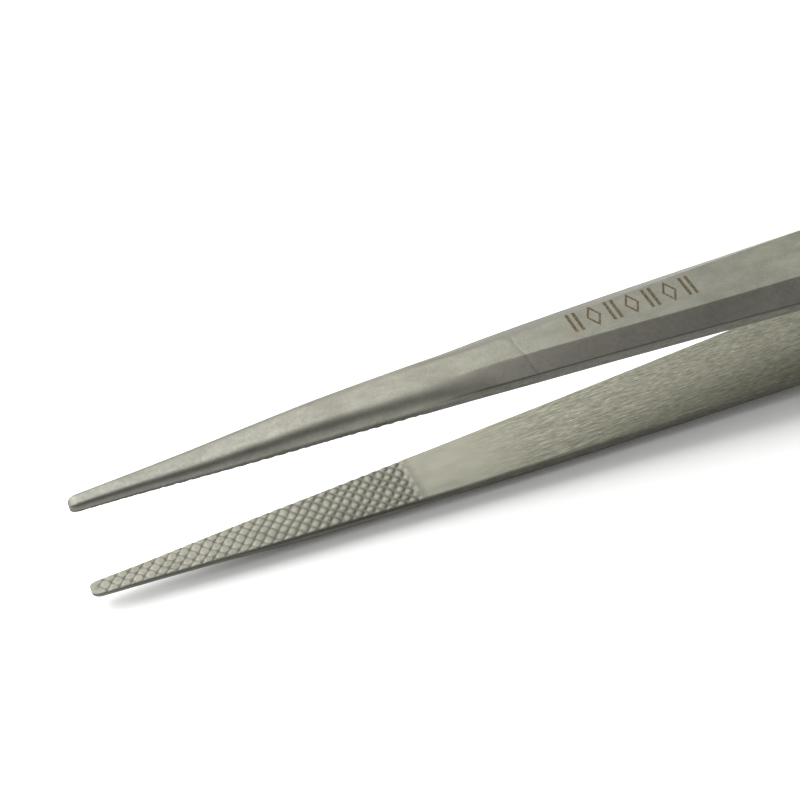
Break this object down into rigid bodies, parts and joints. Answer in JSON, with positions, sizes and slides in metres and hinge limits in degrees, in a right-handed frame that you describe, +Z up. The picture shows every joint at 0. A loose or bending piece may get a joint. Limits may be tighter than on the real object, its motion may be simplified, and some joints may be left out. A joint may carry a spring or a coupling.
{
  "type": "precision tweezers",
  "caption": "Flat-lying precision tweezers with knurled half-round jaws, bevelled finger zone and two sprung steel arms welded at the tail.",
  "frame": {"origin": "on the surface that the lower arm's flat belly lies on, under the middle of the overall length and of the width", "axes": "+X along the tweezers from the tips to the tail, +Y across the arms, +Z up, from the lower arm to the upper arm"},
  "size_m": [0.15, 0.0088, 0.0151],
  "materials": {
    "satin_steel": "bead-blasted satin outside, ground bevels, brushed inner faces",
    "weld_steel": "resistance-weld metal, dull"
  },
  "bodies": {
    "tail": {"upper_tail": "satin_steel", "lower_tail": "satin_steel", "weld_front": "weld_steel", "weld_rear": "weld_steel"},
    "upper_arm": {"upper_blade": "satin_steel"},
    "lower_arm": {"lower_blade": "satin_steel"}
  },
  "joints": [
    {"name": "upper_arm_flex", "type": "hinge", "parent": "tail", "child": "upper_arm", "pos_m": [0.045, 0, 0.00945], "axis": [0, -1, 0], "range_deg": [0, 2.65], "stiffness_Nm_per_rad": 4.7},
    {"name": "lower_arm_flex", "type": "hinge", "parent": "tail", "child": "lower_arm", "pos_m": [0.045, 0, 0.00566], "axis": [0, 1, 0], "range_deg": [0, 2.65], "stiffness_Nm_per_rad": 4.7}
  ]
}
